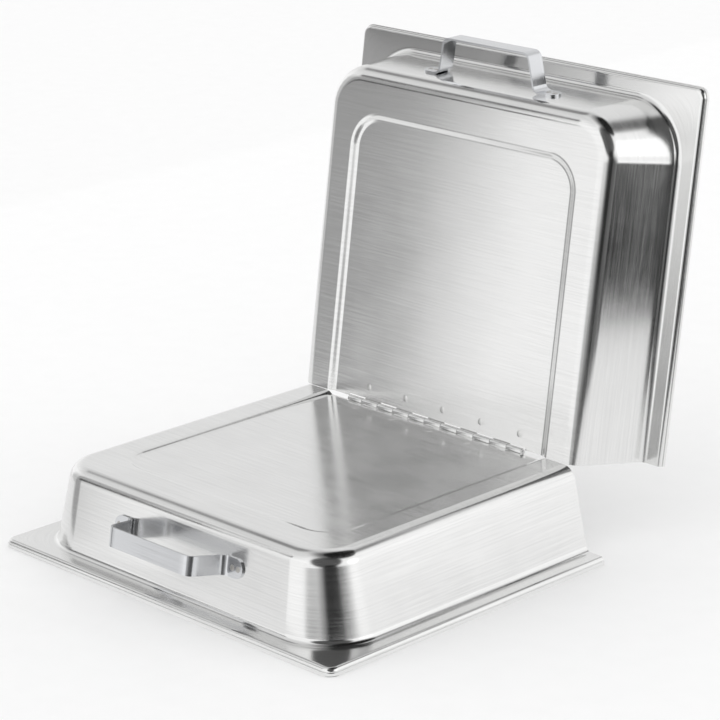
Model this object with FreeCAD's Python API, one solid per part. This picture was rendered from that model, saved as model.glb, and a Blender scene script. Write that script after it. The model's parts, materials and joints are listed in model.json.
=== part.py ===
"""Hinged dome cover for a full-size food pan: two pressed steel half covers on a piano hinge.

Row frame: X runs along the hinge, +Y from the front handle towards the hinge, Z is up. The
origin is on the ground, at the middle of the front rim. Lengths are in mm.
Every part is drawn with the hinge at y = 0 as part of a closed front half. Rear parts are then
turned round and swung up to the rest angle, and all parts are moved to the row frame.
"""
import FreeCAD, Part
import math
import os

os.makedirs("parts", exist_ok=True)
V = FreeCAD.Vector

# ---- overall size of one half cover (outside faces) ----
HALF_W = 165.0          # half of the width across the hemmed rim
HALF_L = 271.0          # hinge line to the end of the rim
SHEET = 0.8             # sheet thickness
RIM_TOP = 5.8           # top face of the flat rim flange
BORDER_Z = 65.0         # raised border on top of the dome
RECESS_DEPTH = 2.35     # pressed-in panel, below the border
SPLIT = 1.6             # half of the gap between the two halves when closed

# ---- rim ----
RIM_CORNER_R = 8.0      # plan radius of the rim corners
RIM_BEND_R = 3.0        # outside radius where the flange turns down
HEM_STEP = 0.6          # how far the folded hem stands out from the turned-down lip
HEM_H = 2.7             # height of the hem
HEM_T = 2.0 * SHEET     # two layers of sheet
HEM_EDGE_R = 0.35

# ---- dome walls: plan position of the outside face at the flange and at the border ----
WALL_BASE_X = 149.2
WALL_BASE_Y = 256.0
WALL_BASE_R = 42.0
WALL_TOP_X = 134.8
WALL_TOP_Y = 246.5
WALL_TOP_R = 31.0
ROOT_FILLET_R = 5.0     # hollow fillet between wall and flange
CROWN_FILLET_R = 12.0   # rounded edge between wall and border

# ---- pressed panel ----
PANEL_X = 106.0         # middle of the sloped step
PANEL_Y = 212.5
PANEL_CORNER_R = 24.0
PANEL_STEP_DEG = 32.0
PANEL_FILLET_R = 7.0

# ---- piano hinge ----
AXIS_Z = 63.4
KNUCKLE_R = 2.75
LEAF_T = 1.2
LEAF_W = 22.0
PIN_R = 1.5
PIN_RUN_CLEARANCE = 0.06
PIN_OVERHANG = 0.25
PIN_END_BEVEL = 0.4
KNUCKLE_PITCH = 16.1
KNUCKLE_COUNT = 11
END_KNUCKLE_L = 14.05
KNUCKLE_GAP = 0.3
LEAF_SETBACK = 3.4      # how far sheet and leaf stay clear of the other leaf's knuckles
CUTOUT_END_GAP = 1.5    # clearance between the barrel end and the cut-out in the sheet
LEAF_CORNER_R = 2.0

# ---- flush rivets through leaf and panel ----
RIVET_COUNT = 5
RIVET_PITCH = 37.5
RIVET_OFFSET = 6.0      # the row sits a little towards +X
RIVET_Y = 12.0
RIVET_SHANK_R = 1.5
RIVET_HEAD_R = 2.6
RIVET_HEAD_DEPTH = 0.5
RIVET_TAIL_R = 2.6
RIVET_TAIL_H = 1.0
RIVET_TAIL_BEVEL = 0.35

# ---- strip handle ----
HANDLE_W = 13.8
HANDLE_T = 1.5
HANDLE_Z = 39.3         # height of the feet on the end wall
GRIP_HALF = 40.2        # grip bend, on the middle line of the strip
FOOT_BEND_X = 46.0
FOOT_TIP_X = 64.0
HANDLE_REACH = 28.6     # wall face to the outside of the grip
HANDLE_BEND_R = 5.0     # inside radius of the bends

# ---- spot welds holding the handle feet ----
WELD_X = (54.2, 59.8)
WELD_R = 2.0
WELD_DIMPLE = 0.2

REST_OPEN_DEG = 82.0    # rear half, measured from closed
HINGE_Y = HALF_L - HEM_T / 2.0  # hinge line in the row frame

# ---- drawing allowances ----
OVERRUN = 1.0           # how far a cutting shape runs past the surface that it cuts
OUTSIDE_RUN = 6.0       # the faces are drawn past the hinge line and trimmed afterwards
INSIDE_RUN = 8.0
TOUCH = 0.01            # two positions closer than this are the same
FIND = 0.1              # reach when an edge is looked up by its place

# ---- values that follow from the above ----
BARREL_HALF = END_KNUCKLE_L + KNUCKLE_PITCH * (KNUCKLE_COUNT - 2) / 2.0
PANEL_Z = BORDER_Z - RECESS_DEPTH
END_SLOPE = math.atan2(WALL_BASE_Y - WALL_TOP_Y, BORDER_Z - RIM_TOP)


def rounded_wire(half_x, far_y, near_y, radius, z):
    """Rectangle open towards the hinge: far corners rounded, near corners square."""
    c = radius * (1.0 - math.sqrt(0.5))
    p = [V(-half_x, near_y, z), V(-half_x, -far_y + radius, z), V(-half_x + radius, -far_y, z),
         V(half_x - radius, -far_y, z), V(half_x, -far_y + radius, z), V(half_x, near_y, z)]
    left_mid = V(-half_x + c, -far_y + c, z)
    right_mid = V(half_x - c, -far_y + c, z)
    edges = [Part.makeLine(p[0], p[1]),
             Part.Arc(p[1], left_mid, p[2]).toShape(),
             Part.makeLine(p[2], p[3]),
             Part.Arc(p[3], right_mid, p[4]).toShape(),
             Part.makeLine(p[4], p[5]),
             Part.makeLine(p[5], p[0])]
    return Part.Wire(edges)


def prism(half_x, far_y, near_y, radius, z0, z1):
    face = Part.Face(rounded_wire(half_x, far_y, near_y, radius, z0))
    return face.extrude(V(0, 0, z1 - z0))


def lofted(low, high):
    return Part.makeLoft([rounded_wire(*low), rounded_wire(*high)], True, True)


def edges_at(shape, z, half_x, far_y, near_y, tol=FIND / 2.0):
    """Edges lying in the plane z, inside the given plan box, away from the hinge end."""
    found = []
    for edge in shape.Edges:
        box = edge.BoundBox
        if abs(box.ZMin - z) > tol or abs(box.ZMax - z) > tol:
            continue
        if box.YMin > near_y - tol:
            continue
        if box.XMax > half_x + tol or box.XMin < -half_x - tol or box.YMin < -far_y - tol:
            continue
        found.append(edge)
    return found


def dome_solid(inset, near_y):
    """Solid bounded by the outside face (inset 0) or by the inside face (inset = sheet)."""
    side_run = (WALL_BASE_X - WALL_TOP_X) / (BORDER_Z - RIM_TOP)
    end_run = (WALL_BASE_Y - WALL_TOP_Y) / (BORDER_Z - RIM_TOP)
    side_in = inset * math.hypot(1.0, side_run)
    end_in = inset * math.hypot(1.0, end_run)
    rim_z = RIM_TOP - inset
    top_z = BORDER_Z - inset
    lip_x = HALF_W - HEM_STEP - inset
    lip_y = HALF_L - HEM_STEP - inset

    def wall(z):
        s = (z - RIM_TOP) / (BORDER_Z - RIM_TOP)
        x = WALL_BASE_X + s * (WALL_TOP_X - WALL_BASE_X) - side_in
        y = WALL_BASE_Y + s * (WALL_TOP_Y - WALL_BASE_Y) - end_in
        r = WALL_BASE_R + s * (WALL_TOP_R - WALL_BASE_R) - inset
        return (x, y, near_y, r, z)

    bottom = -inset * 2.0
    flange = prism(lip_x, lip_y, near_y, RIM_CORNER_R - HEM_STEP - inset, bottom, rim_z)
    flange = flange.makeFillet(RIM_BEND_R - inset, edges_at(flange, rim_z, lip_x, lip_y, near_y))
    dome = lofted(wall(bottom), wall(top_z))
    body = flange.fuse(dome).removeSplitter()
    root = wall(rim_z)
    body = body.makeFillet(ROOT_FILLET_R + inset, edges_at(body, rim_z, root[0], root[1], near_y))
    crown = wall(top_z)
    body = body.makeFillet(CROWN_FILLET_R - inset, edges_at(body, top_z, crown[0], crown[1], near_y))

    half_step = RECESS_DEPTH / 2.0 / math.tan(math.radians(PANEL_STEP_DEG))
    shift = inset * math.tan(math.radians(PANEL_STEP_DEG / 2.0))
    out = half_step + shift
    low = (PANEL_X - half_step + shift, PANEL_Y - half_step + shift, near_y + OVERRUN,
           PANEL_CORNER_R - half_step + shift, top_z - RECESS_DEPTH)
    high = (PANEL_X + out, PANEL_Y + out, near_y + OVERRUN, PANEL_CORNER_R + out, top_z)
    rise = OVERRUN / math.tan(math.radians(PANEL_STEP_DEG))
    above = (high[0] + rise, high[1] + rise, near_y + OVERRUN, high[3] + rise,
             top_z + OVERRUN)
    body = body.cut(lofted(low, above))
    body = body.makeFillet(PANEL_FILLET_R + inset,
                           edges_at(body, low[4], low[0], low[1], near_y))
    body = body.makeFillet(PANEL_FILLET_R - inset,
                           edges_at(body, top_z, high[0], high[1], near_y))
    return body


def hem_band():
    """Folded hem: a thicker band around the bottom of the turned-down lip."""
    outer = prism(HALF_W, HALF_L, OVERRUN, RIM_CORNER_R, 0.0, HEM_H)
    outer = outer.makeFillet(HEM_EDGE_R, edges_at(outer, HEM_H, HALF_W, HALF_L, OVERRUN)
                             + edges_at(outer, 0.0, HALF_W, HALF_L, OVERRUN))
    inner = prism(HALF_W - HEM_T, HALF_L - HEM_T, 2 * OVERRUN, RIM_CORNER_R - HEM_T,
                  -OVERRUN, HEM_H + OVERRUN)
    return outer.cut(inner)


def half_shell():
    outside = dome_solid(0.0, OUTSIDE_RUN)
    inside = dome_solid(SHEET, INSIDE_RUN)
    keep = Part.makeBox(4 * HALF_W, 4 * HALF_L, 4 * BORDER_Z,
                        V(-2 * HALF_W, -4 * HALF_L - SPLIT, 0))
    shell = outside.cut(inside).common(keep)
    shell = shell.fuse(hem_band().common(keep)).removeSplitter()
    cut_x = BARREL_HALF + CUTOUT_END_GAP
    cutout = Part.makeBox(2 * cut_x, 2 * LEAF_SETBACK, 4 * RECESS_DEPTH,
                          V(-cut_x, -LEAF_SETBACK, PANEL_Z - 2 * RECESS_DEPTH))
    return shell.cut(cutout)


def knuckle_spans():
    """(start, end) of every knuckle along X, from the -X end."""
    edges = [-BARREL_HALF, -BARREL_HALF + END_KNUCKLE_L]
    while len(edges) < KNUCKLE_COUNT:
        edges.append(edges[-1] + KNUCKLE_PITCH)
    edges.append(BARREL_HALF)
    return list(zip(edges[:-1], edges[1:]))


def hinge_leaf(first, bore_r):
    """Leaf under the front panel; carries every second knuckle, starting with number `first`."""
    plate = Part.makeBox(2 * BARREL_HALF, LEAF_W, LEAF_T,
                         V(-BARREL_HALF, -LEAF_W, AXIS_Z - KNUCKLE_R))
    far_corners = [e for e in plate.Edges
                   if abs(e.BoundBox.ZLength - LEAF_T) < FIND and e.BoundBox.YMax < -LEAF_W + FIND]
    plate = plate.makeFillet(LEAF_CORNER_R, far_corners)
    spans = knuckle_spans()
    slots = []
    for index, (start, end) in enumerate(spans):
        if index % 2 == first:
            tube = Part.makeCylinder(KNUCKLE_R, end - start, V(start, 0, AXIS_Z), V(1, 0, 0))
            plate = plate.fuse(tube)
        else:
            slots.append((start - KNUCKLE_GAP / 2.0, end + KNUCKLE_GAP / 2.0))
    for start, end in slots:
        plate = plate.cut(Part.makeBox(end - start, 2 * LEAF_SETBACK, 4 * KNUCKLE_R,
                                       V(start, -LEAF_SETBACK, AXIS_Z - 2 * KNUCKLE_R)))
    bore = Part.makeCylinder(bore_r, 4 * BARREL_HALF, V(-2 * BARREL_HALF, 0, AXIS_Z), V(1, 0, 0))
    return plate.cut(bore).removeSplitter()


def hinge_pin():
    length = 2 * (BARREL_HALF + PIN_OVERHANG)
    pin = Part.makeCylinder(PIN_R, length, V(-length / 2.0, 0, AXIS_Z), V(1, 0, 0))
    ends = [e for e in pin.Edges if e.BoundBox.XLength < TOUCH]
    return pin.makeChamfer(PIN_END_BEVEL, ends)


def rivet(x):
    """Flush head in the panel, shank through the leaf, set tail underneath."""
    under = AXIS_Z - KNUCKLE_R
    shank = Part.makeCylinder(RIVET_SHANK_R, PANEL_Z - under, V(x, -RIVET_Y, under))
    head = Part.makeCone(RIVET_SHANK_R, RIVET_HEAD_R, RIVET_HEAD_DEPTH,
                         V(x, -RIVET_Y, PANEL_Z - RIVET_HEAD_DEPTH))
    tail = Part.makeCylinder(RIVET_TAIL_R, RIVET_TAIL_H, V(x, -RIVET_Y, under - RIVET_TAIL_H))
    low = [e for e in tail.Edges if e.BoundBox.ZMax < under - RIVET_TAIL_H + TOUCH]
    tail = tail.makeChamfer(RIVET_TAIL_BEVEL, low)
    return shank.fuse(head).fuse(tail).removeSplitter()


def on_end_wall(shape):
    """Place a shape drawn with x along the end wall, y up the wall and z out of the wall."""
    wall_y = WALL_BASE_Y - (HANDLE_Z - RIM_TOP) * math.tan(END_SLOPE)
    placed = shape.copy()
    placed.rotate(V(0, 0, 0), V(1, 0, 0), 90.0 - math.degrees(END_SLOPE))
    placed.translate(V(0, -wall_y, HANDLE_Z))
    return placed


def offset_outline(points, distance):
    """The two outlines that run at an even distance on either side of a centre line."""
    def unit(a, b):
        length = math.hypot(b[0] - a[0], b[1] - a[1])
        return ((b[0] - a[0]) / length, (b[1] - a[1]) / length)

    left = []
    right = []
    last = len(points) - 1
    for i, (x, z) in enumerate(points):
        out = unit(points[i], points[i + 1]) if i < last else unit(points[i - 1], points[i])
        into = unit(points[i - 1], points[i]) if i else out
        nx = -(into[1] + out[1])
        nz = into[0] + out[0]
        scale = distance * 2.0 / (nx * nx + nz * nz)
        left.append((x + nx * scale, z + nz * scale))
        right.append((x - nx * scale, z - nz * scale))
    return left, right


def cross_edges(strip, corners):
    """Edges that run across the strip at the given corners of its outline."""
    found = []
    for edge in strip.Edges:
        box = edge.BoundBox
        near = [c for c in corners if math.hypot(box.Center.x - c[0], box.Center.z - c[1]) < TOUCH]
        if box.YLength > HANDLE_W - FIND and near:
            found.append(edge)
    return found


def strip_handle():
    """Low bridge handle, standing on the plane z = 0 with its grip along X."""
    mid = HANDLE_T / 2.0
    path = [(FOOT_TIP_X, mid), (FOOT_BEND_X, mid),
            (GRIP_HALF, HANDLE_REACH - mid), (-GRIP_HALF, HANDLE_REACH - mid),
            (-FOOT_BEND_X, mid), (-FOOT_TIP_X, mid)]
    wall_side, far_side = offset_outline(path, mid)
    loop = wall_side + list(reversed(far_side))
    wire = Part.makePolygon([V(x, -HANDLE_W / 2.0, z) for x, z in loop + [loop[0]]])
    strip = Part.Face(wire).extrude(V(0, HANDLE_W, 0))
    inside_bends = [far_side[1], far_side[4], wall_side[2], wall_side[3]]
    outside_bends = [wall_side[1], wall_side[4], far_side[2], far_side[3]]
    strip = strip.makeFillet(HANDLE_BEND_R, cross_edges(strip, inside_bends))
    strip = strip.makeFillet(HANDLE_BEND_R + HANDLE_T, cross_edges(strip, outside_bends))
    strip = strip.common(stadium(FOOT_TIP_X, HANDLE_W / 2.0, -OVERRUN, HANDLE_REACH + OVERRUN))
    for hole in weld_cylinders(0.0, HANDLE_T, (-1.0, 1.0)):
        strip = strip.cut(hole)
    return strip


def stadium(half_length, radius, z0, z1):
    mid = half_length - radius
    body = Part.makeBox(2 * mid, 2 * radius, z1 - z0, V(-mid, -radius, z0))
    for x in (-mid, mid):
        body = body.fuse(Part.makeCylinder(radius, z1 - z0, V(x, 0, z0)))
    return body.removeSplitter()


def weld_cylinders(z0, z1, sides):
    """Cylinders at the spot welds of the handle feet on the given sides."""
    return [Part.makeCylinder(WELD_R, z1 - z0, V(side * x, 0, z0)) for side in sides for x in WELD_X]


def handle_welds(side):
    """The two spot-weld nuggets of one foot, from the dimple to the inside face of the wall."""
    nuggets = weld_cylinders(-SHEET, HANDLE_T - WELD_DIMPLE, (side,))
    return on_end_wall(Part.makeCompound(nuggets))


def rivet_xs(side):
    """Rivet positions along the hinge; side is -1 for the half that is turned round."""
    middle = (RIVET_COUNT - 1) / 2.0
    return [side * (RIVET_OFFSET + (i - middle) * RIVET_PITCH) for i in range(RIVET_COUNT)]


def rear_place(shape):
    """Turn a part of the front half round to the rear, then swing it open about the pin."""
    placed = shape.copy()
    placed.rotate(V(0, 0, 0), V(0, 0, 1), 180.0)
    placed.rotate(V(0, 0, AXIS_Z), V(1, 0, 0), REST_OPEN_DEG)
    return placed


def front_place(shape):
    return shape.copy()


def build_half(name, place, side, first_knuckle, bore_r):
    """All the parts of one half cover, as {node: shape}."""
    shell = half_shell()
    leaf = hinge_leaf(first_knuckle, bore_r)
    for hole in weld_cylinders(-2.0 * SHEET, SHEET, (-1.0, 1.0)):
        shell = shell.cut(on_end_wall(hole))
    parts = {}
    for i, x in enumerate(rivet_xs(side)):
        fastener = rivet(x)
        shell = shell.cut(fastener)
        leaf = leaf.cut(fastener)
        parts["%s_hinge_rivet_%d" % (name, i + 1)] = place(fastener)
    parts[name + "_shell"] = place(shell)
    parts[name + "_hinge_leaf"] = place(leaf)
    parts[name + "_handle"] = place(on_end_wall(strip_handle()))
    parts[name + "_handle_left_welds"] = place(handle_welds(-side))
    parts[name + "_handle_right_welds"] = place(handle_welds(side))
    return parts


def main():
    parts = build_half("front", front_place, 1.0, 0, PIN_R)
    parts.update(build_half("rear", rear_place, -1.0, 1, PIN_R + PIN_RUN_CLEARANCE))
    parts["hinge_pin"] = hinge_pin()
    for node, shape in parts.items():
        shape.translate(V(0, HINGE_Y, 0))
        shape.exportStep("parts/%s.step" % node)


main()
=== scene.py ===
"""Looks for the hinged dome cover: pressed satin steel half covers, piano hinge, strip handles.

Both halves share one set of builders. A part is drawn on a closed half, in millimetres, with
the hinge at y = 0 and the dome towards -Y. A matrix then places it: the front half only moves
to the row frame, the rear half turns round and swings up to its rest angle.
"""

import json
import math

import bpy
import numpy as np
from mathutils import Matrix, Vector


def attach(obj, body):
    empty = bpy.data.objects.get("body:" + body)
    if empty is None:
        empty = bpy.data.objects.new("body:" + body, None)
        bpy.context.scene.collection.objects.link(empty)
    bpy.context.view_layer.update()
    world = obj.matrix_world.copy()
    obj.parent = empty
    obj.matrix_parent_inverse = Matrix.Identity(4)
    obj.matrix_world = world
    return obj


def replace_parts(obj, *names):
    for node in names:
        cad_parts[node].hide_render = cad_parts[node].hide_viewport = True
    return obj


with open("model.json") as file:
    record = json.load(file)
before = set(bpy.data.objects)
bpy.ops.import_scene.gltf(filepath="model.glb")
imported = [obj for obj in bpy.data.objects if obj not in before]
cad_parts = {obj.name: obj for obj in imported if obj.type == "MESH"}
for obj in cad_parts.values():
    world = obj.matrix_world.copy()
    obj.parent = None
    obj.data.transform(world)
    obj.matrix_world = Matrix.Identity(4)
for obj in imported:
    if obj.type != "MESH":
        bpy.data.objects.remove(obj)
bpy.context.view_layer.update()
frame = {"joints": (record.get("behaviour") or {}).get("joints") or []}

# ---- half cover, outside faces, in mm ----
MM = 0.001
HALF_W, HALF_L = 165.0, 271.0
SHEET = 0.8
RIM_TOP, BORDER_Z, RECESS_DEPTH = 5.8, 65.0, 2.35
SPLIT = 1.6                             # half of the gap between the closed halves
RIM_CORNER_R, RIM_BEND_R = 8.0, 3.0
HEM_STEP, HEM_H, HEM_T, HEM_EDGE_R = 0.6, 2.7, 1.6, 0.35
WALL_BASE = (149.2, 256.0, 42.0)        # x, y and corner radius at the flange
WALL_TOP = (134.8, 246.5, 31.0)         # the same at the border
ROOT_FILLET_R, CROWN_FILLET_R = 5.0, 12.0
PANEL = (106.0, 212.5, 24.0)            # middle of the sloped step
PANEL_STEP_DEG, PANEL_FILLET_R = 32.0, 7.0
PANEL_Z = BORDER_Z - RECESS_DEPTH
SLOT_X, SLOT_Y = 88.0, 3.4              # cut-out in the sheet for the hinge barrel
FIELD_END = 194.0                       # far side of the flat field inside the panel
FIELD_LIP = 3.0                         # level strip between the sloped step and the field
CROWN_CORNER = 3                        # which section corner is the edge between wall and border
TOP_FACE_DEG = 38.0                     # within this of level, the crown takes the border's grain

# ---- hinge, in mm ----
AXIS_Z = 63.4
KNUCKLE_R, LEAF_T, LEAF_W, PIN_R = 2.75, 1.2, 22.0, 1.5
KNUCKLE_PITCH, KNUCKLE_COUNT, END_KNUCKLE_L, KNUCKLE_GAP = 16.1, 11, 14.05, 0.3
BARREL_HALF = END_KNUCKLE_L + KNUCKLE_PITCH * (KNUCKLE_COUNT - 2) / 2.0
LEAF_CORNER_R = 2.0
TONGUE_GAP = 0.4                        # from the end of a leaf's tongue to the hinge line
KNUCKLE_SOFT_R, BORE_CLEARANCE = 0.3, 0.03
PIN_OVERHANG, PIN_BEVEL = 0.25, 0.4
RIVET_XS, RIVET_Y = (-69.0, -31.5, 6.0, 43.5, 81.0), 12.0
RIVET_HEAD_R, RIVET_CROWN, RIVET_SHANK_R = 2.6, 0.22, 1.5
RIVET_TAIL_H, RIVET_TAIL_BEVEL = 1.0, 0.4
RIVET_LEAF_GAP, RIVET_RISE, RIVET_HEAD_DEPTH = 0.02, 0.02, 0.3
RIVET_CROWN_STEPS, RIVET_CROWN_SPAN = 7, 6.4    # the dome stops short of its pole

# ---- strip handle, in mm ----
HANDLE_W, HANDLE_T, HANDLE_Z, HANDLE_REACH = 13.8, 1.5, 39.3, 28.6
GRIP_HALF, FOOT_BEND_X, FOOT_TIP_X, HANDLE_BEND_R = 40.2, 46.0, 64.0, 5.0
WELD_XS, WELD_R, WELD_ROOT = (54.2, 59.8), 2.0, 0.4     # root: share of the strip's thickness
WELD_DOME = ((1.1, -0.02), (1.0, 0.01), (0.9, 0.02), (0.6, 0.03))   # share of radius, height
END_SLOPE = math.atan2(WALL_BASE[1] - WALL_TOP[1], BORDER_Z - RIM_TOP)

# ---- mesh density ----
FILLET_STEPS = 12
SIDE_STEPS, ARC_STEPS, END_STEPS = 28, 24, 24
RUN_STATIONS = (0, 3, 9, 4, 0, 0)       # extra stations on the straight runs of the section
MORPH_STEPS = 4
BEND_STEPS, LEAF_CORNER_STEPS = 8, 5
KNUCKLE_TURN, RIVET_TURN, WELD_TURN, PIN_TURN = 40, 40, 32, 28
HANDLE_BEVEL, LEAF_BEVEL, WELD_BEVEL = 0.32, 0.12, 0.05
GRAIN_TURN = 6.28                       # grain length of a full turn at radius 1

# ---- finish ----
ACROSS_GRAIN = 0.25                     # of a turn: reflections spread across the grain
FINE_GRAIN, COARSE_GRAIN = (30.0, 1700.0, 1.0), (14.0, 800.0, 1.0)
SMUDGES, SHEET_WAVES = (22.0, 30.0, 26.0), (9.0, 9.0, 9.0)

# ---- studio, in m ----
# What the steel reflects was fitted to the photograph from the camera's side alone. From above
# and from behind, level faces reflect the dark spots and turn almost black.
FLOOR = (-4.0, 4.0, -3.0, 5.0)
PLAIN_LEVEL, REFLECTED_LEVEL = 1.04, 1.03
CARDS = [                               # name, corners, where the level fades in X, levels
    ("soft_flag",
     [(-0.67, -0.63, -0.5), (-1.8, -0.63, -0.5), (-1.8, -0.63, 0.91), (-0.67, -0.63, 0.91)],
     (-0.93, -0.67), (0.37, 1.09)),
    ("crown_flag",
     [(-0.66, -0.62, 0.335), (-1.2, -0.62, 0.335), (-1.2, -0.62, 0.49), (-0.66, -0.62, 0.49)],
     (-1.2, -0.66), (0.03, 0.05)),
    ("floor_card",
     [(-0.9, -0.05, 0.0005), (0.74, -0.05, 0.0005), (0.74, 2.5, 0.0005), (-0.9, 2.5, 0.0005)],
     (-0.9, 0.7), (0.85, 0.88)),
]
SPOTS = [                               # azimuth, elevation, middle, edge, gain
    (50, 77, 9, 28, 0.09),
    (117, -31, 32, 21, 0.11),
    (72, -26, 18, 2, 0.03),
    (-34, 39, 23, 30, 0.79),
    (-130, 29, 4, 3, 0.10),
    (122, 6, 12, 8, 0.15),
    (38, 67, 23, 3, 0.03),
    (-78, 52, 7, 6, 0.40),
    (-105, 61, 12, 34, 0.72),
    (163, -24, 21, 4, 0.35),
    (69, -15, 10, 2, 1.30),
    (64, 19, 14, 3, 1.25),
    (130, 40, 28, 8, 0.08),
    (-113, -2, 19, 11, 0.58),
]

# ---- camera, in m ----
EYE, LENS = (1.3557, -1.1741, 0.7564), 143.65
EYE_BACK, EYE_RIGHT = (0.66951, -0.67544, 0.30908), (0.71103, 0.70316, -0.00355)

# ---- placing ----
REST_OPEN_DEG = 82.0
HINGE_Y = frame["joints"][0]["pos_m"][1]
FRONT = Matrix.Translation((0, HINGE_Y, 0))
PIVOT = Matrix.Translation((0, 0, AXIS_Z * MM))
REAR = (FRONT @ PIVOT @ Matrix.Rotation(math.radians(REST_OPEN_DEG), 4, "X")
        @ PIVOT.inverted() @ Matrix.Rotation(math.pi, 4, "Z"))
WALL_FOOT_Y = WALL_BASE[1] - (HANDLE_Z - RIM_TOP) * math.tan(END_SLOPE)
ON_END_WALL = (Matrix.Translation((0, -WALL_FOOT_Y * MM, HANDLE_Z * MM))
               @ Matrix.Rotation(math.pi / 2.0 - END_SLOPE, 4, "X"))


# ------------------------------------------------------------------ meshes
def add_piece(name, body, matrix, material, verts, faces, normals=None, uvs=None):
    """Mesh object from points in mm; normals and uvs are given per face corner."""
    mesh = bpy.data.meshes.new(name)
    mesh.from_pydata([tuple(v) for v in np.asarray(verts) * MM], [], faces)
    if uvs is not None:
        layer = mesh.uv_layers.new(name="grain")
        layer.data.foreach_set("uv", np.asarray(uvs, np.float32).ravel() * MM)
    mesh.validate()
    mesh.shade_smooth()
    if normals is not None:
        mesh.normals_split_custom_set([tuple(n) for n in normals])
    mesh.materials.append(material)
    piece = bpy.data.objects.new(name, mesh)
    bpy.context.scene.collection.objects.link(piece)
    piece.matrix_world = matrix
    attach(piece, body)
    return piece


def bevelled(piece, width, segments=2):
    """Rounds the sharp edges of a piece by width, in mm."""
    bevel = piece.modifiers.new("edge", "BEVEL")
    bevel.width = width * MM
    bevel.segments = segments
    bevel.limit_method = "ANGLE"
    bevel.angle_limit = math.radians(40.0)
    bevel.harden_normals = True
    return piece


# ------------------------------------------------------------------ section of the pressing
def right_of(t):
    return (t[1], -t[0])


def fillet_section(corners, between):
    """Section line as stations (corner, share, d, z, nd, nz).

    corners are (d, z, radius). The line turns in an arc of FILLET_STEPS at each inner corner,
    and between[i] extra stations lie on the straight run that follows corner i. share runs from
    0 to 1 along that straight run. Two sections with the same corners match station by station.
    """
    count = len(corners)
    points = [np.array(c[:2]) for c in corners]
    runs = []
    for a, b in zip(points[:-1], points[1:]):
        runs.append((b - a) / np.linalg.norm(b - a))
    stations = []
    starts, ends = [], []
    for i in range(count):
        turn = 0.0
        if 0 < i < count - 1:
            cross = runs[i - 1][0] * runs[i][1] - runs[i - 1][1] * runs[i][0]
            turn = math.atan2(cross, float(np.dot(runs[i - 1], runs[i])))
        reach = corners[i][2] * math.tan(abs(turn) / 2.0)
        starts.append(points[i] - runs[max(i - 1, 0)] * reach)
        ends.append(points[i] + runs[min(i, count - 2)] * reach)
        if turn == 0.0:
            normal = right_of(runs[min(i, count - 2)])
            stations.append((i, 0.0, *points[i], *normal))
        else:
            t = runs[i - 1]
            sign = math.copysign(1.0, turn)
            left = np.array((-t[1], t[0])) * sign
            for k in range(FILLET_STEPS + 1):
                a = abs(turn) * k / FILLET_STEPS
                p = starts[i] + corners[i][2] * (math.sin(a) * t + (1.0 - math.cos(a)) * left)
                tangent = math.cos(a) * t + math.sin(a) * left
                stations.append((i, 0.0, *p, *right_of(tangent)))
        if i < count - 1:
            stations.append(i)
    return place_between(stations, starts, ends, runs, between)


def place_between(stations, starts, ends, runs, between):
    """Puts the evenly spaced stations of each straight run in place of its marker."""
    full = []
    for item in stations:
        if not isinstance(item, int):
            full.append(item)
            continue
        normal = right_of(runs[item])
        for k in range(1, between[item] + 1):
            share = k / (between[item] + 1)
            p = ends[item] * (1.0 - share) + starts[item + 1] * share
            full.append((item, share, *p, *normal))
    return full


def pressing_section(index):
    """Section across the side wall (index 0) or the end wall (index 1), hem excluded."""
    rim = (HALF_W, HALF_L)[index] - HEM_STEP
    step = RECESS_DEPTH / 2.0 / math.tan(math.radians(PANEL_STEP_DEG))
    foot = PANEL[index] - step
    corners = [(rim, HEM_H, 0.0), (rim, RIM_TOP, RIM_BEND_R),
               (WALL_BASE[index], RIM_TOP, ROOT_FILLET_R),
               (WALL_TOP[index], BORDER_Z, CROWN_FILLET_R),
               (PANEL[index] + step, BORDER_Z, PANEL_FILLET_R),
               (foot, PANEL_Z, PANEL_FILLET_R), (foot - FIELD_LIP, PANEL_Z, 0.0)]
    return fillet_section(corners, RUN_STATIONS)


def corner_centre(corner, index, z):
    """Plan position of the corner centre line at one corner of the section."""
    if corner <= 1:
        return (HALF_W, HALF_L)[index] - RIM_CORNER_R
    if corner <= 3:
        s = (z - RIM_TOP) / (BORDER_Z - RIM_TOP)
        low = WALL_BASE[index] - WALL_BASE[2]
        high = WALL_TOP[index] - WALL_TOP[2]
        return low + s * (high - low)
    return PANEL[index] - PANEL[2]


def hem_stations(side):
    """Folded hem outside (side 1) or inside (side -1), as (d from the lip face, z, nd, nz)."""
    face = HEM_STEP if side > 0 else HEM_STEP - HEM_T
    lip = 0.0 if side > 0 else -SHEET
    low_r = HEM_EDGE_R
    top_r = min(HEM_EDGE_R, abs(face - lip))
    stations = []
    for r, z, phase in ((low_r, low_r, -90.0), (top_r, HEM_H - top_r, 0.0)):
        for k in range(4):
            a = math.radians(phase + 30.0 * k)
            stations.append((face - side * r + side * r * math.cos(a), z + r * math.sin(a),
                             side * math.cos(a), math.sin(a)))
    return stations


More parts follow.
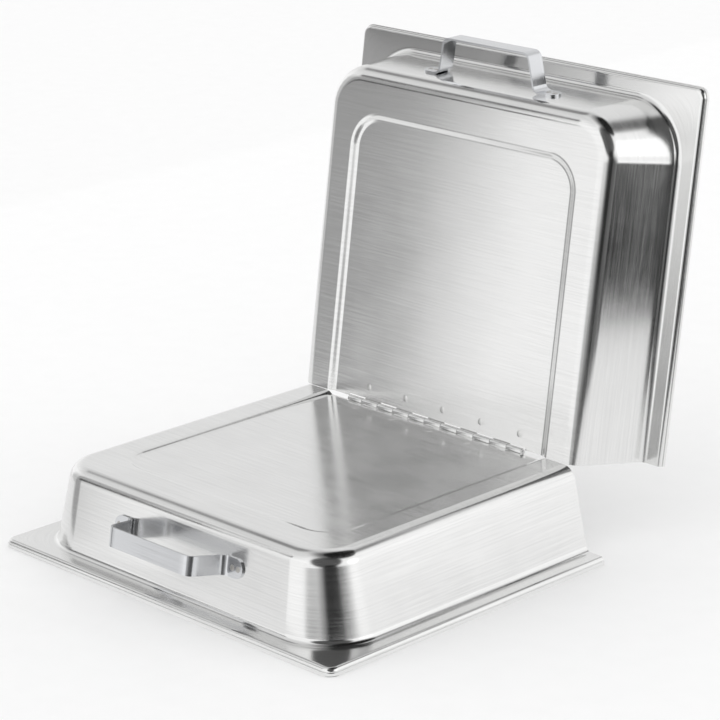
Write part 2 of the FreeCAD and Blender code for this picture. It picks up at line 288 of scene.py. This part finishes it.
# ------------------------------------------------------------------ rings around the half cover
def ring(centre, reach, heights, normals):
    """Points and normals along the open U: right side, corner, end, corner, left side."""
    cx, cy = centre
    rx, ry = reach[0] - cx, reach[1] - cy
    rows = []
    for y in side_ys(cy):
        rows.append((reach[0], y, 0.0, 0.0))
    for k in range(1, ARC_STEPS + 1):
        a = math.pi / 2.0 * k / ARC_STEPS
        share = k / ARC_STEPS
        lean = math.atan2(math.sin(a) / ry, math.cos(a) / rx)
        rows.append((cx + rx * math.cos(a), -cy - ry * math.sin(a), lean,
                     share * share * (3.0 - 2.0 * share)))
    half = END_STEPS // 2
    for k in range(1, half + 1):
        rows.append((cx * (1.0 - k / half), -reach[1], math.pi / 2.0, 1.0))
    mirrored = [(-x, y, math.pi - a, w) for x, y, a, w in reversed(rows[:-1])]
    points, directions = [], []
    for x, y, a, w in rows + mirrored:
        z = heights[0] * (1.0 - w) + heights[1] * w
        nd = normals[0][0] * (1.0 - w) + normals[1][0] * w
        nz = normals[0][1] * (1.0 - w) + normals[1][1] * w
        length = math.hypot(nd, nz)
        points.append((x, y, z))
        directions.append((nd * math.cos(a) / length, -nd * math.sin(a) / length, nz / length))
    return np.array(points), np.array(directions)


def side_ys(cy):
    """Rows along the side wall, from the cut edge at the hinge to the start of the corner."""
    ys = [-SPLIT]
    for k in range(SIDE_STEPS + 1):
        ys.append(-SLOT_Y - (cy - SLOT_Y) * k / SIDE_STEPS)
    return ys


def field_ring():
    """The square-cornered ring round the flat field; its arc points slide onto the corner."""
    rows = [(SLOT_X, -SPLIT)]
    down = SIDE_STEPS + ARC_STEPS // 2
    for k in range(down + 1):
        rows.append((SLOT_X, -SLOT_Y - (FIELD_END - SLOT_Y) * k / down))
    across = (ARC_STEPS + END_STEPS) // 2
    for k in range(1, across + 1):
        rows.append((SLOT_X * (1.0 - k / across), -FIELD_END))
    mirrored = [(-x, y) for x, y in reversed(rows[:-1])]
    return np.array([(x, y, PANEL_Z) for x, y in rows + mirrored])


def shell_rings():
    """Rings of the outside and of the inside face: two lists of (points, normals, is_top)."""
    outer, inner = [], []
    rim = (HALF_W - HEM_STEP, HALF_L - HEM_STEP)
    rim_centre = (HALF_W - RIM_CORNER_R, HALF_L - RIM_CORNER_R)
    for side, rings in ((1, outer), (-1, inner)):
        for d, z, nd, nz in hem_stations(side):
            p, n = ring(rim_centre, (rim[0] + d, rim[1] + d), (z, z), ((nd, nz), (nd, nz)))
            rings.append((p, n, False))
    for a, b in zip(pressing_section(0), pressing_section(1)):
        centre = []
        for index, s in ((0, a), (1, b)):
            here = corner_centre(s[0], index, s[3])
            after = corner_centre(s[0] + 1, index, s[3])
            centre.append(here * (1.0 - s[1]) + after * s[1])
        p, n = ring(centre, (a[2], b[2]), (a[3], b[3]), (a[4:], b[4:]))
        is_level = a[5] > math.cos(math.radians(TOP_FACE_DEG))
        is_top = a[0] > CROWN_CORNER or (a[0] == CROWN_CORNER and is_level)
        outer.append((p, n, is_top))
        inner.append((p - n * SHEET, -n, is_top))
    foot = outer[-1][0]
    up = np.tile((0.0, 0.0, 1.0), (len(foot), 1))
    for k in range(1, MORPH_STEPS + 1):
        share = k / MORPH_STEPS
        p = foot * (1.0 - share) + field_ring() * share
        outer.append((p, up, True))
        inner.append((p - up * SHEET, -up, True))
    return outer, inner


class Mesh:
    """Collects points and faces, with a normal and a grain coordinate for every face corner."""

    def __init__(self):
        self.verts, self.faces, self.normals, self.uvs = [], [], [], []

    def add_points(self, points):
        first = len(self.verts)
        self.verts.extend(np.asarray(points, float))
        return first

    def quad(self, ids, normals, uvs):
        self.faces.append(tuple(ids))
        self.normals.extend(normals)
        self.uvs.extend(uvs)

    def flat(self, ids, uvs=None):
        p = [self.verts[i] for i in ids]
        n = np.cross(p[1] - p[0], p[2] - p[0]) + np.cross(p[2] - p[0], p[3] - p[0])
        n = n / np.linalg.norm(n)
        self.quad(ids, [n] * 4, uvs or [(q[0] + q[1], q[2]) for q in p])


def path_lengths(points):
    steps = np.linalg.norm(np.diff(points[:, :2], axis=0), axis=1)
    return np.concatenate(([0.0], np.cumsum(steps)))


def shell_face(mesh, rings, outside):
    """Quads of one face of the sheet; returns the first vertex of every ring."""
    around = path_lengths(rings[len(rings) // 3][0])
    firsts = [mesh.add_points(p) for p, _, _ in rings]
    middle = len(around) // 4
    height = 0.0
    for k in range(len(rings) - 1):
        low, high = rings[k], rings[k + 1]
        grown = height + float(np.linalg.norm(high[0][middle] - low[0][middle]))
        is_top = low[2] and high[2]
        for i in range(len(around) - 1):
            corners = [(k, i), (k + 1, i), (k + 1, i + 1), (k, i + 1)]
            if not outside:
                corners.reverse()
            ids = [firsts[r] + c for r, c in corners]
            normals = [rings[r][1][c] for r, c in corners]
            if is_top:
                uvs = [tuple(rings[r][0][c][:2]) for r, c in corners]
            else:
                uvs = [(around[c], height if r == k else grown) for r, c in corners]
            mesh.quad(ids, normals, uvs)
        height = grown
    return firsts


def field_grid(mesh, first, z, outside):
    """Flat field inside the last ring; returns the vertex ids of its rows."""
    down = SIDE_STEPS + ARC_STEPS // 2
    across = ARC_STEPS + END_STEPS
    rows = []
    for r in range(down + 1):
        left = first + 1 + down + across + (down - r)
        if r == down:
            rows.append([first + 1 + down + c for c in range(across + 1)])
            continue
        y = -SLOT_Y - (FIELD_END - SLOT_Y) * r / down
        points = [(SLOT_X * (1.0 - 2.0 * c / across), y, z) for c in range(1, across)]
        start = mesh.add_points(points)
        rows.append([first + 1 + r] + list(range(start, start + across - 1)) + [left])
    normal = (0.0, 0.0, 1.0 if outside else -1.0)
    for r in range(down):
        for c in range(across):
            ids = [rows[r][c], rows[r][c + 1], rows[r + 1][c + 1], rows[r + 1][c]]
            if not outside:
                ids.reverse()
            mesh.quad(ids, [normal] * 4, [tuple(mesh.verts[i][:2]) for i in ids])
    return rows


def shell_mesh():
    """Closed sheet: outside face, inside face, hem bottom, cut edges and hinge cut-out."""
    outer, inner = shell_rings()
    mesh = Mesh()
    out = shell_face(mesh, outer, True)
    into = shell_face(mesh, inner, False)
    count = len(outer[0][0])
    for i in range(count - 1):
        mesh.flat([out[0] + i, out[0] + i + 1, into[0] + i + 1, into[0] + i])
    for k in range(len(out) - 1):
        mesh.flat([out[k], into[k], into[k + 1], out[k + 1]])
        last = count - 1
        mesh.flat([out[k] + last, out[k + 1] + last, into[k + 1] + last, into[k] + last])
    top_rows = field_grid(mesh, out[-1], PANEL_Z, True)
    low_rows = field_grid(mesh, into[-1], PANEL_Z - SHEET, False)
    a, b = top_rows[0], low_rows[0]
    for c in range(len(a) - 1):
        mesh.flat([a[c], b[c], b[c + 1], a[c + 1]])
    mesh.flat([out[-1], into[-1], b[0], a[0]])
    end = count - 1
    mesh.flat([a[-1], b[-1], into[-1] + end, out[-1] + end])
    return mesh


# ------------------------------------------------------------------ handles, hinge, fasteners
def strip_path():
    """Centre line of the handle strip: (x, z, nx, nz) from the left foot to the right."""
    mid = HANDLE_T / 2.0
    r = HANDLE_BEND_R + mid
    points = [np.array(p) for p in ((-FOOT_TIP_X, mid), (-FOOT_BEND_X, mid),
                                    (-GRIP_HALF, HANDLE_REACH - mid),
                                    (GRIP_HALF, HANDLE_REACH - mid),
                                    (FOOT_BEND_X, mid), (FOOT_TIP_X, mid))]
    line = []
    for i in range(1, 5):
        t0 = points[i] - points[i - 1]
        t1 = points[i + 1] - points[i]
        t0, t1 = t0 / np.linalg.norm(t0), t1 / np.linalg.norm(t1)
        turn = math.atan2(t0[0] * t1[1] - t0[1] * t1[0], float(np.dot(t0, t1)))
        left = np.array((-t0[1], t0[0])) * math.copysign(1.0, turn)
        start = points[i] - t0 * r * math.tan(abs(turn) / 2.0)
        for k in range(BEND_STEPS + 1):
            a = abs(turn) * k / BEND_STEPS
            p = start + r * (math.sin(a) * t0 + (1.0 - math.cos(a)) * left)
            t = math.cos(a) * t0 + math.sin(a) * left
            line.append((*p, -t[1], t[0]))
    return line


def handle_mesh():
    """Bent strip with round ends: a top and a bottom grid joined round the outline."""
    across = 14
    angles = [math.pi * (j / across - 0.5) for j in range(across + 1)]
    half = HANDLE_W / 2.0
    line = strip_path()
    foot_steps, grip_steps, leg_steps = 10, 14, 5
    bend = BEND_STEPS + 1
    gaps = {bend - 1: leg_steps, 2 * bend - 1: grip_steps, 3 * bend - 1: leg_steps}
    rows = []
    for k in range(foot_steps):
        share = 1.0 - k / foot_steps
        start, up = line[0][0], line[0][1]
        rows.append([(start + share * (-FOOT_TIP_X + half - half * math.cos(a) - start),
                      half * math.sin(a), up, 0.0, 1.0) for a in angles])
    for i, (x, z, nx, nz) in enumerate(line):
        rows.append([(x, half * math.sin(a), z, nx, nz) for a in angles])
        gap = gaps.get(i, 0)
        for k in range(1, gap + 1):
            share = k / (gap + 1)
            after = line[i + 1]
            rows.append([(x + share * (after[0] - x), half * math.sin(a),
                          z + share * (after[1] - z), nx, nz) for a in angles])
    tail = [[(-x, y, z, -nx, nz) for x, y, z, nx, nz in row] for row in rows[:foot_steps]]
    rows.extend(reversed(tail))
    return strip_solid(rows)


def strip_solid(rows):
    """Gives the rows of the strip's middle face their thickness and closes the outline."""
    mesh = Mesh()
    t = HANDLE_T / 2.0
    wide = len(rows[0])
    firsts = {}
    for side in (1.0, -1.0):
        firsts[side] = [mesh.add_points([(x + side * t * nx, y, z + side * t * nz)
                                         for x, y, z, nx, nz in row]) for row in rows]
    length = [0.0]
    mid = wide // 2
    for a, b in zip(rows[:-1], rows[1:]):
        length.append(length[-1] + math.hypot(b[mid][0] - a[mid][0], b[mid][2] - a[mid][2]))
    for side in (1.0, -1.0):
        for k in range(len(rows) - 1):
            for j in range(wide - 1):
                corners = [(k, j), (k + 1, j), (k + 1, j + 1), (k, j + 1)]
                if side < 0:
                    corners.reverse()
                mesh.faces.append(tuple(firsts[side][r] + c for r, c in corners))
                mesh.uvs.extend((length[r], rows[r][c][1]) for r, c in corners)
    loop = [(0, j) for j in range(wide)] + [(k, wide - 1) for k in range(1, len(rows))]
    loop += [(len(rows) - 1, j) for j in range(wide - 2, -1, -1)]
    loop += [(k, 0) for k in range(len(rows) - 2, -1, -1)]
    for (k0, j0), (k1, j1) in zip(loop[:-1], loop[1:]):
        ids = (firsts[1.0][k0] + j0, firsts[1.0][k1] + j1,
               firsts[-1.0][k1] + j1, firsts[-1.0][k0] + j0)
        mesh.faces.append(ids)
        mesh.uvs.extend([(length[k0], 0.0), (length[k1], 0.0),
                         (length[k1], HANDLE_T), (length[k0], HANDLE_T)])
    return mesh


def lathe(profile, steps, closed=False):
    """Mesh turned about Z from (radius, height) points, poles closed by a small fan."""
    mesh = Mesh()
    rings = [mesh.add_points([(r * math.cos(2 * math.pi * k / steps),
                               r * math.sin(2 * math.pi * k / steps), z)
                              for k in range(steps)]) for r, z in profile]
    pairs = list(zip(range(len(rings) - 1), range(1, len(rings))))
    if closed:
        pairs.append((len(rings) - 1, 0))
    for a, b in pairs:
        for k in range(steps):
            n = (k + 1) % steps
            mesh.faces.append((rings[a] + k, rings[a] + n, rings[b] + n, rings[b] + k))
            mesh.uvs.extend([(profile[a][0] * GRAIN_TURN * k / steps, profile[a][1]),
                             (profile[a][0] * GRAIN_TURN * (k + 1) / steps, profile[a][1]),
                             (profile[b][0] * GRAIN_TURN * (k + 1) / steps, profile[b][1]),
                             (profile[b][0] * GRAIN_TURN * k / steps, profile[b][1])])
    if not closed:
        for ids in ([rings[0] + k for k in reversed(range(steps))],
                    [rings[-1] + k for k in range(steps)]):
            mesh.faces.append(tuple(ids))
            mesh.uvs.extend([tuple(mesh.verts[i][:2]) for i in ids])
    return mesh


def merged(parts):
    """One mesh from (mesh, 4x4 matrix in mm) pairs."""
    whole = Mesh()
    for mesh, matrix in parts:
        first = whole.add_points([matrix @ Vector(v) for v in mesh.verts])
        whole.faces.extend(tuple(first + i for i in face) for face in mesh.faces)
        whole.uvs.extend(mesh.uvs)
    return whole


def knuckle_spans(first):
    edges = [-BARREL_HALF, -BARREL_HALF + END_KNUCKLE_L]
    while len(edges) < KNUCKLE_COUNT:
        edges.append(edges[-1] + KNUCKLE_PITCH)
    edges.append(BARREL_HALF)
    spans = list(zip(edges[:-1], edges[1:]))
    return spans[first::2]


def knuckle(start, end):
    """Rolled knuckle along X with softened ends."""
    soft = KNUCKLE_SOFT_R
    bore = PIN_R + BORE_CLEARANCE
    outside = [(KNUCKLE_R - soft * (1.0 - math.sin(a)), soft * (1.0 - math.cos(a)))
               for a in (0.0, math.pi / 6, math.pi / 3, math.pi / 2)]
    length = end - start
    profile = outside + [(r, length - z) for r, z in reversed(outside)]
    profile = [(bore, 0.0)] + profile + [(bore, length)]
    tube = lathe(profile, KNUCKLE_TURN, closed=True)
    matrix = Matrix.Translation((start, 0, AXIS_Z)) @ Matrix.Rotation(math.pi / 2, 4, "Y")
    return tube, matrix


def leaf_plate(first):
    """Flat leaf with a tongue running under each of its own knuckles."""
    outline = [(-BARREL_HALF, -LEAF_W + LEAF_CORNER_R)]
    for k in range(1, LEAF_CORNER_STEPS + 1):
        a = math.pi / 2 * k / LEAF_CORNER_STEPS
        outline.append((-BARREL_HALF + LEAF_CORNER_R * (1.0 - math.cos(a)),
                        -LEAF_W + LEAF_CORNER_R * (1.0 - math.sin(a))))
    outline += [(-x, y) for x, y in reversed(outline)]
    for start, end in reversed(knuckle_spans(first)):
        left, right = start + KNUCKLE_GAP / 2.0, end - KNUCKLE_GAP / 2.0
        left = max(left, -BARREL_HALF)
        outline += [(right, -SLOT_Y), (right, -TONGUE_GAP), (left, -TONGUE_GAP), (left, -SLOT_Y)]
    clean = [outline[0]]
    for p in outline[1:]:
        if math.hypot(p[0] - clean[-1][0], p[1] - clean[-1][1]) > 1e-3:
            clean.append(p)
    mesh = Mesh()
    low = AXIS_Z - KNUCKLE_R
    a = mesh.add_points([(x, y, low) for x, y in clean])
    b = mesh.add_points([(x, y, low + LEAF_T) for x, y in clean])
    n = len(clean)
    mesh.faces.append(tuple(a + i for i in reversed(range(n))))
    mesh.uvs.extend(clean[i] for i in reversed(range(n)))
    mesh.faces.append(tuple(b + i for i in range(n)))
    mesh.uvs.extend(clean)
    for i in range(n):
        j = (i + 1) % n
        mesh.faces.append((a + i, a + j, b + j, b + i))
        mesh.uvs.extend([clean[i], clean[j], clean[j], clean[i]])
    return mesh


def leaf_mesh(first):
    parts = [(leaf_plate(first), Matrix.Identity(4))]
    parts += [knuckle(start, end) for start, end in knuckle_spans(first)]
    return merged(parts)


def rivet_mesh():
    """Low crowned head on the panel, shank, and set tail under the leaf."""
    under = AXIS_Z - KNUCKLE_R - PANEL_Z
    tail = under - RIVET_TAIL_H
    seat = under - RIVET_LEAF_GAP
    profile = [(0.4, tail), (RIVET_HEAD_R - RIVET_TAIL_BEVEL, tail), (RIVET_HEAD_R, tail + 0.35),
               (RIVET_HEAD_R, seat), (RIVET_SHANK_R, seat), (RIVET_SHANK_R, -RIVET_HEAD_DEPTH),
               (RIVET_HEAD_R - 0.1, -0.1), (RIVET_HEAD_R, RIVET_RISE)]
    for k in range(1, RIVET_CROWN_STEPS):
        a = math.pi / 2 * k / RIVET_CROWN_SPAN
        profile.append((RIVET_HEAD_R * math.cos(a), RIVET_RISE + RIVET_CROWN * math.sin(a)))
    return lathe(profile, RIVET_TURN)


def weld_mesh():
    """Spot-weld mark: a low dome that starts inside the strip and stands just proud of it."""
    top, root = HANDLE_T, HANDLE_T * WELD_ROOT
    profile = [(0.5, root), (WELD_R * WELD_DOME[0][0], root)]
    profile += [(WELD_R * share, top + height) for share, height in WELD_DOME]
    profile.append((0.15, top + 0.035))
    return lathe(profile, WELD_TURN)


def pin_mesh():
    """Hinge pin with bevelled ends."""
    length = 2.0 * BARREL_HALF + 2.0 * PIN_OVERHANG
    neck = PIN_R - PIN_BEVEL
    profile = [(0.3, 0.0), (neck, 0.0), (PIN_R, PIN_BEVEL), (PIN_R, length - PIN_BEVEL),
               (neck, length), (0.3, length)]
    matrix = (Matrix.Translation((-length / 2.0, 0, AXIS_Z)) @ Matrix.Rotation(math.pi / 2, 4, "Y"))
    return merged([(lathe(profile, PIN_TURN), matrix)])


# ------------------------------------------------------------------ materials
def brushed_steel(name, base, rough, grain=1.0, wave=1.0, anisotropy=0.55, tint=None):
    """Satin-ground steel: fine grain, faint waviness of the sheet and smudges."""
    material = bpy.data.materials.new(name)
    material.use_nodes = True
    nodes, links = material.node_tree.nodes, material.node_tree.links
    shader = nodes["Principled BSDF"]
    shader.inputs["Metallic"].default_value = 1.0
    shader.inputs["Anisotropic"].default_value = anisotropy
    shader.inputs["Anisotropic Rotation"].default_value = ACROSS_GRAIN
    coordinates = nodes.new("ShaderNodeUVMap")
    coordinates.uv_map = "grain"
    tangent = nodes.new("ShaderNodeTangent")
    tangent.direction_type = "UV_MAP"
    tangent.uv_map = "grain"
    links.new(tangent.outputs["Tangent"], shader.inputs["Tangent"])

    def noise(scale, detail, source, roughness=0.6):
        stretch = nodes.new("ShaderNodeMapping")
        stretch.inputs["Scale"].default_value = scale
        links.new(source, stretch.inputs["Vector"])
        texture = nodes.new("ShaderNodeTexNoise")
        texture.inputs["Scale"].default_value = 1.0
        texture.inputs["Detail"].default_value = detail
        texture.inputs["Roughness"].default_value = roughness
        links.new(stretch.outputs["Vector"], texture.inputs["Vector"])
        return texture.outputs["Fac"]

    def span(value, low, high, start=0.25, end=0.75):
        remap = nodes.new("ShaderNodeMapRange")
        remap.inputs["From Min"].default_value = start
        remap.inputs["From Max"].default_value = end
        remap.inputs["To Min"].default_value = low
        remap.inputs["To Max"].default_value = high
        links.new(value, remap.inputs["Value"])
        return remap.outputs["Result"]

    def total(a, b, operation="ADD"):
        node = nodes.new("ShaderNodeMath")
        node.operation = operation
        links.new(a, node.inputs[0])
        if isinstance(b, float):
            node.inputs[1].default_value = b
        else:
            links.new(b, node.inputs[1])
        return node.outputs["Value"]

    flat = coordinates.outputs["UV"]
    solid = nodes.new("ShaderNodeTexCoord").outputs["Object"]
    fine = noise(FINE_GRAIN, 2.0, flat)
    coarse = noise(COARSE_GRAIN, 3.0, flat)
    smudge = noise(SMUDGES, 4.0, solid, 0.55)
    waves = noise(SHEET_WAVES, 1.0, solid, 0.4)
    streaks = total(span(fine, -0.035, 0.035), span(coarse, -0.03, 0.03))
    level = total(span(smudge, rough - 0.02, rough + 0.03), streaks)
    links.new(level, shader.inputs["Roughness"])

    colour = nodes.new("ShaderNodeMix")
    colour.data_type = "RGBA"
    dark = [c * 0.87 for c in base] if tint is None else tint
    colour.inputs["A"].default_value = (*dark, 1.0)
    colour.inputs["B"].default_value = (*base, 1.0)
    patch = total(span(smudge, 0.55, 0.95), span(coarse, -0.45, 0.45))
    links.new(patch, colour.inputs["Factor"])
    links.new(colour.outputs["Result"], shader.inputs["Base Color"])

    ground = nodes.new("ShaderNodeBump")
    ground.inputs["Strength"].default_value = 0.06 * grain
    ground.inputs["Distance"].default_value = 0.00002
    links.new(total(fine, coarse), ground.inputs["Height"])
    sway = nodes.new("ShaderNodeBump")
    sway.inputs["Strength"].default_value = wave
    sway.inputs["Distance"].default_value = 0.0004
    links.new(waves, sway.inputs["Height"])
    links.new(ground.outputs["Normal"], sway.inputs["Normal"])
    links.new(sway.outputs["Normal"], shader.inputs["Normal"])
    return material


def pale_floor():
    material = bpy.data.materials.new("floor_paper")
    material.use_nodes = True
    nodes, links = material.node_tree.nodes, material.node_tree.links
    shader = nodes["Principled BSDF"]
    shader.inputs["Roughness"].default_value = 0.9
    shader.inputs["Specular IOR Level"].default_value = 0.1
    texture = nodes.new("ShaderNodeTexNoise")
    texture.inputs["Scale"].default_value = 400.0
    ramp = nodes.new("ShaderNodeMapRange")
    ramp.inputs["To Min"].default_value = 0.93
    ramp.inputs["To Max"].default_value = 0.96
    links.new(texture.outputs["Fac"], ramp.inputs["Value"])
    links.new(ramp.outputs["Result"], shader.inputs["Base Color"])
    return material


# ------------------------------------------------------------------ studio
def stage_polygon(name, corners, material):
    mesh = bpy.data.meshes.new(name)
    mesh.from_pydata(corners, [], [tuple(range(len(corners)))])
    mesh.materials.append(material)
    sheet = bpy.data.objects.new(name, mesh)
    bpy.context.scene.collection.objects.link(sheet)
    return sheet


def floor():
    """Pale floor for the camera. The steel does not reflect it: it sees floor_card and the world."""
    left, right, front, back = FLOOR
    corners = [(left, front, 0), (right, front, 0), (right, back, 0), (left, back, 0)]
    sheet = stage_polygon("floor", corners, pale_floor())
    sheet.visible_glossy = False


def card(name, corners, between, levels):
    """Studio card that only reflections see; its level fades along X between two places."""
    material = bpy.data.materials.new(name)
    material.use_nodes = True
    nodes, links = material.node_tree.nodes, material.node_tree.links
    nodes.remove(nodes["Principled BSDF"])
    place = nodes.new("ShaderNodeSeparateXYZ")
    links.new(nodes.new("ShaderNodeTexCoord").outputs["Object"], place.inputs["Vector"])
    fade = nodes.new("ShaderNodeMapRange")
    fade.interpolation_type = "SMOOTHSTEP"
    fade.inputs["From Min"].default_value, fade.inputs["From Max"].default_value = between
    fade.inputs["To Min"].default_value, fade.inputs["To Max"].default_value = levels
    links.new(place.outputs["X"], fade.inputs["Value"])
    glow = nodes.new("ShaderNodeEmission")
    links.new(fade.outputs["Result"], glow.inputs["Strength"])
    links.new(glow.outputs["Emission"], nodes["Material Output"].inputs["Surface"])
    sheet = stage_polygon(name, corners, material)
    sheet.visible_camera = False
    sheet.visible_diffuse = False
    sheet.visible_shadow = False
    sheet.visible_transmission = False
    sheet.visible_volume_scatter = False


def studio_world(plain, base, spots):
    """Even white surround for floor and background; the steel sees it with soft-edged spots.

    spots are (azimuth from +Y towards +X, elevation, radius of the even middle, width of the
    soft edge, gain), with all angles in degrees. A gain under 1 darkens the surround, and most
    do. Gains multiply where spots overlap.
    """
    world = bpy.data.worlds.new("studio")
    bpy.context.scene.world = world
    world.use_nodes = True
    nodes, links = world.node_tree.nodes, world.node_tree.links
    background = nodes["Background"]
    direction = nodes.new("ShaderNodeTexCoord").outputs["Generated"]
    level = None
    for azimuth, elevation, middle, edge, gain in spots:
        turn, lift = math.radians(azimuth), math.radians(elevation)
        towards = (math.sin(turn) * math.cos(lift), math.cos(turn) * math.cos(lift), math.sin(lift))
        dot = nodes.new("ShaderNodeVectorMath")
        dot.operation = "DOT_PRODUCT"
        dot.inputs[1].default_value = towards
        links.new(direction, dot.inputs[0])
        fade = nodes.new("ShaderNodeMapRange")
        fade.interpolation_type = "SMOOTHSTEP"
        fade.inputs["From Min"].default_value = math.cos(math.radians(middle + edge))
        fade.inputs["From Max"].default_value = math.cos(math.radians(middle))
        fade.inputs["To Min"].default_value = 1.0
        fade.inputs["To Max"].default_value = gain
        links.new(dot.outputs["Value"], fade.inputs["Value"])
        product = nodes.new("ShaderNodeMath")
        product.operation = "MULTIPLY"
        links.new(fade.outputs["Result"], product.inputs[0])
        if level is None:
            product.inputs[1].default_value = base
        else:
            links.new(level, product.inputs[1])
        level = product.outputs["Value"]
    rays = nodes.new("ShaderNodeLightPath")
    choice = nodes.new("ShaderNodeMix")
    choice.inputs["A"].default_value = plain
    links.new(rays.outputs["Is Glossy Ray"], choice.inputs["Factor"])
    links.new(level, choice.inputs["B"])
    links.new(choice.outputs["Result"], background.inputs["Strength"])
    background.inputs["Color"].default_value = (1.0, 1.0, 1.0, 1.0)


def camera():
    """Looks down on the front right corner, from the side of the front handle."""
    position = Vector(EYE)
    back = Vector(EYE_BACK).normalized()
    right = Vector(EYE_RIGHT)
    right = (right - right.dot(back) * back).normalized()
    up = back.cross(right)
    data = bpy.data.cameras.new("camera")
    data.sensor_width = 36.0
    data.lens = LENS
    data.clip_start, data.clip_end = 0.05, 60.0
    eye = bpy.data.objects.new("camera", data)
    bpy.context.scene.collection.objects.link(eye)
    eye.matrix_world = Matrix.Translation(position) @ Matrix((right, up, back)).transposed().to_4x4()
    bpy.context.scene.camera = eye


def build_half(name, matrix, side, first, steels):
    """All pieces of one half; side is -1 on the half that is turned round."""
    body = name + "_half"
    shell = shell_mesh()
    piece = add_piece(name + "_cover_sheet", body, matrix, steels["shell"],
                      shell.verts, shell.faces, shell.normals, shell.uvs)
    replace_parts(piece, name + "_shell")
    strip = handle_mesh()
    piece = add_piece(name + "_handle_strip", body, matrix @ ON_END_WALL,
                      steels["handle"], strip.verts, strip.faces, uvs=strip.uvs)
    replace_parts(bevelled(piece, HANDLE_BEVEL, 3), name + "_handle")
    leaf = leaf_mesh(first)
    piece = add_piece(name + "_leaf_rolled", body, matrix, steels["hinge"],
                      leaf.verts, leaf.faces, uvs=leaf.uvs)
    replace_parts(bevelled(piece, LEAF_BEVEL, 2), name + "_hinge_leaf")
    head = rivet_mesh()
    for i, x in enumerate(RIVET_XS):
        at = matrix @ Matrix.Translation((side * x * MM, -RIVET_Y * MM, PANEL_Z * MM))
        piece = add_piece("%s_rivet_%d" % (name, i + 1), body, at,
                          steels["rivet"], head.verts, head.faces, uvs=head.uvs)
        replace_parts(piece, "%s_hinge_rivet_%d" % (name, i + 1))
    spot = weld_mesh()
    for label, way in (("left", -side), ("right", side)):
        both = merged([(spot, Matrix.Translation((way * x, 0, 0))) for x in WELD_XS])
        piece = add_piece("%s_%s_weld_marks" % (name, label), body,
                          matrix @ ON_END_WALL, steels["weld"], both.verts, both.faces,
                          uvs=both.uvs)
        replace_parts(bevelled(piece, WELD_BEVEL), "%s_handle_%s_welds" % (name, label))


def build():
    steels = {
        "shell": brushed_steel("satin_sheet", (0.89, 0.89, 0.885), 0.16, anisotropy=0.5),
        # The handle's colour is darker and bluer than the sheet's: a painted dark reflection of a
        # blue-grey surround that the studio does not give the grip.
        "handle": brushed_steel("drawn_strip_painted_dark_reflection", (0.76, 0.77, 0.79), 0.18, wave=0.3, anisotropy=0.3),
        "hinge": brushed_steel("rolled_leaf", (0.82, 0.82, 0.815), 0.20, wave=0.0),
        "pin": brushed_steel("turned_pin", (0.62, 0.62, 0.62), 0.28, wave=0.0),
        "rivet": brushed_steel("set_rivet", (0.84, 0.84, 0.83), 0.22, wave=0.0),
        "weld": brushed_steel("weld_nugget", (0.56, 0.55, 0.53), 0.40, wave=0.0,
                              tint=(0.38, 0.35, 0.31)),
    }
    build_half("front", FRONT, 1.0, 0, steels)
    build_half("rear", REAR, -1.0, 1, steels)
    pin = pin_mesh()
    piece = add_piece("pin_rod", "front_half", FRONT, steels["pin"],
                      pin.verts, pin.faces, uvs=pin.uvs)
    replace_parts(piece, "hinge_pin")


build()
floor()
for studio_card in CARDS:
    card(*studio_card)
studio_world(PLAIN_LEVEL, REFLECTED_LEVEL, SPOTS)
camera()
bpy.context.scene.view_settings.view_transform = "Standard"
